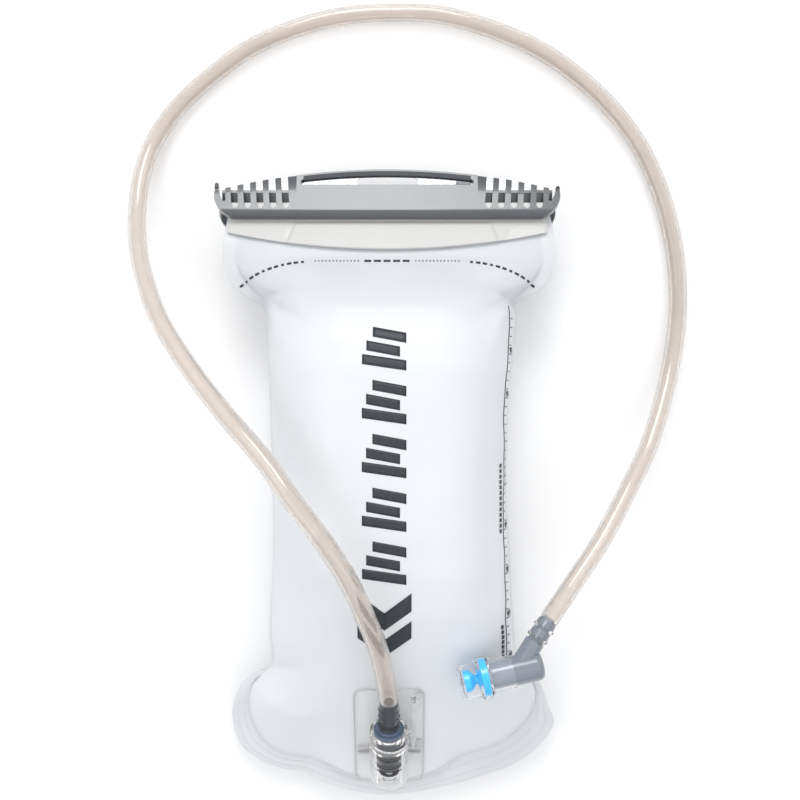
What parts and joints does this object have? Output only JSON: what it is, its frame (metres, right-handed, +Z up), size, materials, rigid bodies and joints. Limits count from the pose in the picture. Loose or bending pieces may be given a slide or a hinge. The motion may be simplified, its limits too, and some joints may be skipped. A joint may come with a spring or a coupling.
{
  "type": "hydration bladder",
  "caption": "Translucent film drinking reservoir with a fold-and-slide top, quick-connect port, clear drink tube and bite valve with a twist shut-off.",
  "frame": {"origin": "bottom centre of the bag and its closure, on the surface that the filled bag lies on", "axes": "+Y along the bag towards its closure, +Z up out of the bag's front, +X to the right seen from the front"},
  "size_m": [0.2965, 0.4208, 0.1025],
  "materials": {
    "film_front": "frosted soft film",
    "film_back": "frosted soft film",
    "lip_strip": "warm white semi-rigid strip",
    "rail": "plain moulded",
    "clear_tab": "clear film",
    "grey_peg": "plain moulded",
    "slider_grey": "satin moulded",
    "clear_port": "clear moulded",
    "clear_button": "clear moulded",
    "spring_steel": "drawn wire",
    "poppet_white": "plain moulded",
    "black_rubber": "smooth",
    "plug_charcoal": "smooth moulded",
    "collar_blue_grey": "smooth moulded",
    "clear_tube": "clear extruded, warm tint",
    "valve_grey": "satin moulded",
    "core_blue": "smooth moulded",
    "clear_silicone": "clear silicone"
  },
  "bodies": {
    "root": {"front_panel": "film_front", "back_panel": "film_back", "front_lip_strip": "lip_strip", "rear_lip_strip": "lip_strip", "front_seal_rail": "rail", "rear_seal_rail": "rail", "hang_tab": "clear_tab", "tether_peg": "grey_peg", "port_base": "clear_port", "button_spring": "spring_steel", "poppet_spring": "spring_steel"},
    "slider": {"slider": "slider_grey"},
    "release_button": {"release_button": "clear_button"},
    "poppet": {"port_poppet": "poppet_white", "poppet_seal": "black_rubber"},
    "hose": {"plug_body": "plug_charcoal", "plug_collar": "collar_blue_grey", "plug_o_rings": "black_rubber", "drink_tube": "clear_tube", "valve_elbow": "valve_grey"},
    "mouthpiece": {"shutoff_core": "core_blue", "core_o_ring": "black_rubber", "bite_sheath": "clear_silicone"}
  },
  "joints": [
    {"name": "slider_slide", "type": "slide", "parent": "root", "child": "slider", "axis": [1, 0, 0], "range_m": [0, 0.18]},
    {"name": "button_press", "type": "slide", "parent": "root", "child": "release_button", "axis": [-1, 0, 0], "range_m": [0, 0.0012], "stiffness_N_per_m": 400, "deforming": ["button_spring"]},
    {"name": "hose_unplug", "type": "slide", "parent": "root", "child": "hose", "axis": [0, 0.8829, 0.4695], "range_m": [0, 0.023]},
    {"name": "poppet_lift", "type": "slide", "parent": "root", "child": "poppet", "axis": [0, 0.8829, 0.4695], "range_m": [0, 0.0023], "deforming": ["poppet_spring"]},
    {"name": "shutoff_twist", "type": "hinge", "parent": "hose", "child": "mouthpiece", "pos_m": [0.035, -0.0915, 0.062], "axis": [0.9772, 0.2077, -0.0436], "range_deg": [0, 90]}
  ],
  "couplings": [
    {"joint": "poppet_lift", "follows": "hose_unplug", "ratio": 0.1}
  ]
}
